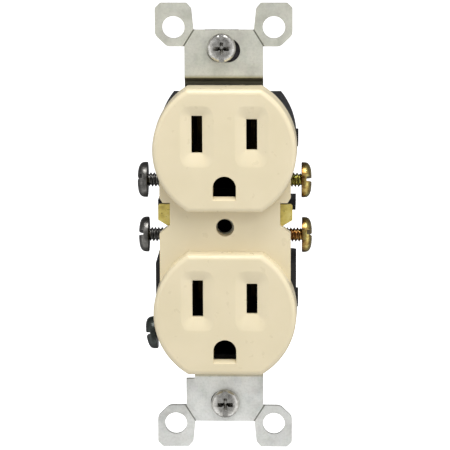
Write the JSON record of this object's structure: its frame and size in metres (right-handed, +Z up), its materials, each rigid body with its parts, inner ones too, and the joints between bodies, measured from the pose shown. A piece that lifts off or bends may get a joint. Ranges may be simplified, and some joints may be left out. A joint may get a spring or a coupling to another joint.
{
  "type": "duplex wall receptacle",
  "caption": "Two-outlet wall receptacle: moulded face and rear body on a steel strap with plaster ears, side terminal screws and mounting screws.",
  "frame": {"origin": "on the axis of the cover-screw hole, in the plane of the rear faces of the plaster ears; it is the centre of the four plaster-ear holes", "axes": "+Z up along the strap, +X to the right as seen from the room, +Y into the wall"},
  "size_m": [0.0412, 0.0257, 0.106],
  "materials": {
    "ivory_plastic": "semi-gloss moulded ivory thermoplastic",
    "black_plastic": "matt black moulded thermoplastic",
    "galvanised_steel": "zinc-plated steel sheet",
    "brass_sheet": "stamped brass sheet, lightly oxidised",
    "brass_screw": "yellow passivated steel screw",
    "nickel_screw": "nickel-plated steel screw",
    "green_screw": "dark green steel screw",
    "zinc_screw": "zinc-plated steel screw",
    "fibre": "hard fibre sheet",
    "spring_steel": "spring steel strip",
    "rivet_brass": "brass rivet"
  },
  "bodies": {
    "receptacle": {"mounting_strap": "galvanised_steel", "face_cover": "ivory_plastic", "back_body": "black_plastic", "hot_contact_strip": "brass_sheet", "neutral_contact_strip": "brass_sheet", "ground_contact_upper": "brass_sheet", "ground_contact_lower": "brass_sheet", "ground_contact_rivets": "rivet_brass"},
    "hot_terminal_screw_upper": {"hot_terminal_screw_upper": "brass_screw"},
    "hot_terminal_screw_lower": {"hot_terminal_screw_lower": "brass_screw"},
    "neutral_terminal_screw_upper": {"neutral_terminal_screw_upper": "nickel_screw"},
    "neutral_terminal_screw_lower": {"neutral_terminal_screw_lower": "nickel_screw"},
    "ground_screw": {"ground_screw": "green_screw"},
    "screw_retainer_top": {"screw_retainer_top": "fibre"},
    "mounting_screw_top": {"mounting_screw_top": "zinc_screw"},
    "screw_retainer_bottom": {"screw_retainer_bottom": "fibre"},
    "mounting_screw_bottom": {"mounting_screw_bottom": "zinc_screw"},
    "hot_wire_spring_upper": {"hot_wire_spring_upper": "spring_steel"},
    "hot_wire_spring_lower": {"hot_wire_spring_lower": "spring_steel"},
    "neutral_wire_spring_upper": {"neutral_wire_spring_upper": "spring_steel"},
    "neutral_wire_spring_lower": {"neutral_wire_spring_lower": "spring_steel"}
  },
  "joints": [
    {"name": "hot_terminal_screw_upper_travel", "type": "slide", "parent": "receptacle", "child": "hot_terminal_screw_upper", "axis": [-1, 0, 0], "range_m": [-0.0012, 0.00458]},
    {"name": "hot_terminal_screw_lower_travel", "type": "slide", "parent": "receptacle", "child": "hot_terminal_screw_lower", "axis": [-1, 0, 0], "range_m": [-0.00108, 0.0047]},
    {"name": "neutral_terminal_screw_upper_travel", "type": "slide", "parent": "receptacle", "child": "neutral_terminal_screw_upper", "axis": [1, 0, 0], "range_m": [-0.00045, 0.00533]},
    {"name": "neutral_terminal_screw_lower_travel", "type": "slide", "parent": "receptacle", "child": "neutral_terminal_screw_lower", "axis": [1, 0, 0], "range_m": [-0.00065, 0.00513]},
    {"name": "ground_screw_travel", "type": "slide", "parent": "receptacle", "child": "ground_screw", "axis": [0.9919, 0, 0.1271], "range_m": [-0.0012, 0.0024]},
    {"name": "screw_retainer_top_shift", "type": "slide", "parent": "receptacle", "child": "screw_retainer_top", "axis": [1, 0, 0], "range_m": [-0.0013, 0.0023]},
    {"name": "mounting_screw_top_travel", "type": "slide", "parent": "screw_retainer_top", "child": "mounting_screw_top", "axis": [0, -1, 0], "range_m": [0, 0.012]},
    {"name": "screw_retainer_bottom_shift", "type": "slide", "parent": "receptacle", "child": "screw_retainer_bottom", "axis": [1, 0, 0], "range_m": [-0.0015, 0.0012]},
    {"name": "mounting_screw_bottom_travel", "type": "slide", "parent": "screw_retainer_bottom", "child": "mounting_screw_bottom", "axis": [0, -1, 0], "range_m": [0, 0.012]},
    {"name": "hot_wire_spring_upper_flex", "type": "hinge", "parent": "receptacle", "child": "hot_wire_spring_upper", "pos_m": [0.0092, 0.01205, 0.01335], "axis": [0, 0, -1], "range_deg": [0, 20], "stiffness_Nm_per_rad": 0.02},
    {"name": "hot_wire_spring_lower_flex", "type": "hinge", "parent": "receptacle", "child": "hot_wire_spring_lower", "pos_m": [0.0092, 0.01205, -0.00605], "axis": [0, 0, -1], "range_deg": [0, 20], "stiffness_Nm_per_rad": 0.02},
    {"name": "neutral_wire_spring_upper_flex", "type": "hinge", "parent": "receptacle", "child": "neutral_wire_spring_upper", "pos_m": [-0.0087, 0.01205, 0.01335], "axis": [0, 0, 1], "range_deg": [0, 20], "stiffness_Nm_per_rad": 0.02},
    {"name": "neutral_wire_spring_lower_flex", "type": "hinge", "parent": "receptacle", "child": "neutral_wire_spring_lower", "pos_m": [-0.0087, 0.01205, -0.00605], "axis": [0, 0, 1], "range_deg": [0, 20], "stiffness_Nm_per_rad": 0.02}
  ]
}
